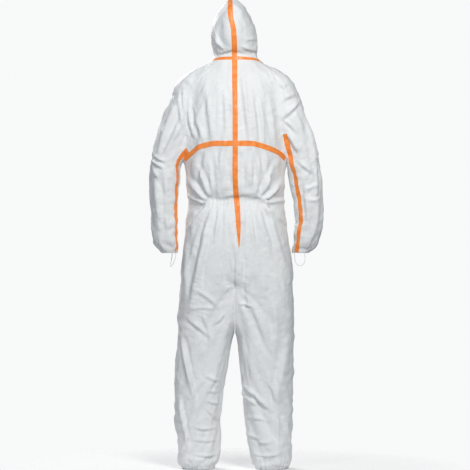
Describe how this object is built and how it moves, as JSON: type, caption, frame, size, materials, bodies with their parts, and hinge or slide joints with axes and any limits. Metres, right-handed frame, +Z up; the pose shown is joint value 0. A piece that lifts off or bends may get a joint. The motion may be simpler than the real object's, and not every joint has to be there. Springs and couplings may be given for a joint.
{
  "type": "chemical protective suit",
  "caption": "Hooded protective coverall with taped seams, gathered hood, waist, cuffs and ankles, thumb loops, and a front zip under adhesive flaps",
  "frame": {"origin": "on the floor midway between the two trouser hems, where the wearer stands", "axes": "+Z up, -Y the way the suit faces, +X the wearer's left"},
  "size_m": [0.642, 0.3057, 1.7563],
  "materials": {
    "cloth": "coated nonwoven laminate, soft sheen",
    "seam_tape": "welded film tape, satin",
    "elastic": "covered elastic, matte",
    "zip_tape": "woven polyester tape",
    "zip_plastic": "moulded plastic, satin",
    "release_paper": "silicone-coated paper over the adhesive",
    "label": "blank woven label"
  },
  "bodies": {
    "torso": {"front_left": "cloth", "front_right": "cloth", "back_yoke_left": "cloth", "back_yoke_right": "cloth", "back_lower_left": "cloth", "back_lower_right": "cloth", "upper_sleeve_left": "cloth", "upper_sleeve_right": "cloth", "elbow_gather_left": "cloth", "elbow_gather_right": "cloth", "sleeve_tape_upper_left": "seam_tape", "sleeve_tape_upper_right": "seam_tape", "hip_gather_left": "cloth", "hip_gather_right": "cloth", "hood_neck_gather": "cloth", "hood_tape_lower": "seam_tape", "centre_back_tape": "seam_tape", "yoke_tape_left": "seam_tape", "yoke_tape_right": "seam_tape", "neck_tape_left": "seam_tape", "neck_tape_right": "seam_tape", "waist_elastic": "elastic", "size_label": "label", "zip_tape_left": "zip_tape", "zip_tape_right": "zip_tape", "zip_coil_left": "zip_plastic", "zip_coil_right": "zip_plastic", "zip_top_stop_left": "zip_plastic", "zip_top_stop_right": "zip_plastic", "zip_bottom_stop": "zip_plastic"},
    "hood": {"hood_left": "cloth", "hood_right": "cloth", "hood_tape": "seam_tape", "face_elastic": "elastic"},
    "zip_slider": {"zip_slider": "zip_plastic"},
    "zip_pull": {"zip_pull": "zip_plastic"},
    "storm_flap": {"storm_flap": "cloth", "storm_flap_liner": "release_paper"},
    "chin_flap": {"chin_flap": "cloth", "chin_flap_liner": "release_paper"},
    "lower_sleeve_left": {"lower_sleeve_left": "cloth", "sleeve_tape_lower_left": "seam_tape", "cuff_elastic_left": "elastic", "thumb_loop_left": "elastic"},
    "upper_leg_left": {"upper_leg_left": "cloth", "knee_gather_left": "cloth"},
    "lower_leg_left": {"lower_leg_left": "cloth", "ankle_elastic_left": "elastic"},
    "lower_sleeve_right": {"lower_sleeve_right": "cloth", "sleeve_tape_lower_right": "seam_tape", "cuff_elastic_right": "elastic", "thumb_loop_right": "elastic"},
    "upper_leg_right": {"upper_leg_right": "cloth", "knee_gather_right": "cloth"},
    "lower_leg_right": {"lower_leg_right": "cloth", "ankle_elastic_right": "elastic"}
  },
  "joints": [
    {"name": "hood_tilt", "type": "hinge", "parent": "torso", "child": "hood", "pos_m": [0, -0.00785, 1.5119], "axis": [1, 0, 0], "range_deg": [-30, 20], "deforming": ["hood_neck_gather", "hood_tape_lower"]},
    {"name": "zip_slide", "type": "slide", "parent": "torso", "child": "zip_slider", "axis": [0, -0.078, -0.997], "range_m": [0, 0.645]},
    {"name": "pull_swing", "type": "hinge", "parent": "zip_slider", "child": "zip_pull", "pos_m": [0, -0.09899, 1.47248], "axis": [-1, 0, 0], "range_deg": [0, 165]},
    {"name": "storm_flap_open", "type": "hinge", "parent": "torso", "child": "storm_flap", "pos_m": [-0.033, -0.14582, 0.81508], "axis": [0, -0.078, -0.997], "range_deg": [0, 150]},
    {"name": "chin_flap_close", "type": "hinge", "parent": "torso", "child": "chin_flap", "pos_m": [-0.033, -0.09961, 1.40432], "axis": [0, 0.078, 0.997], "range_deg": [0, 148.5]},
    {"name": "elbow_bend_left", "type": "hinge", "parent": "torso", "child": "lower_sleeve_left", "pos_m": [0.258, 0.012, 1.115], "axis": [-1, 0, 0], "range_deg": [0, 70], "deforming": ["elbow_gather_left"]},
    {"name": "hip_bend_left", "type": "hinge", "parent": "torso", "child": "upper_leg_left", "pos_m": [0.105, 0.008, 0.74], "axis": [-1, 0, 0], "range_deg": [0, 45], "deforming": ["hip_gather_left"]},
    {"name": "knee_bend_left", "type": "hinge", "parent": "upper_leg_left", "child": "lower_leg_left", "pos_m": [0.116, -0.012, 0.43], "axis": [1, 0, 0], "range_deg": [0, 60], "deforming": ["knee_gather_left"]},
    {"name": "elbow_bend_right", "type": "hinge", "parent": "torso", "child": "lower_sleeve_right", "pos_m": [-0.258, 0.012, 1.115], "axis": [-1, 0, 0], "range_deg": [0, 70], "deforming": ["elbow_gather_right"]},
    {"name": "hip_bend_right", "type": "hinge", "parent": "torso", "child": "upper_leg_right", "pos_m": [-0.105, 0.008, 0.74], "axis": [-1, 0, 0], "range_deg": [0, 45], "deforming": ["hip_gather_right"]},
    {"name": "knee_bend_right", "type": "hinge", "parent": "upper_leg_right", "child": "lower_leg_right", "pos_m": [-0.116, -0.012, 0.43], "axis": [1, 0, 0], "range_deg": [0, 60], "deforming": ["knee_gather_right"]}
  ]
}
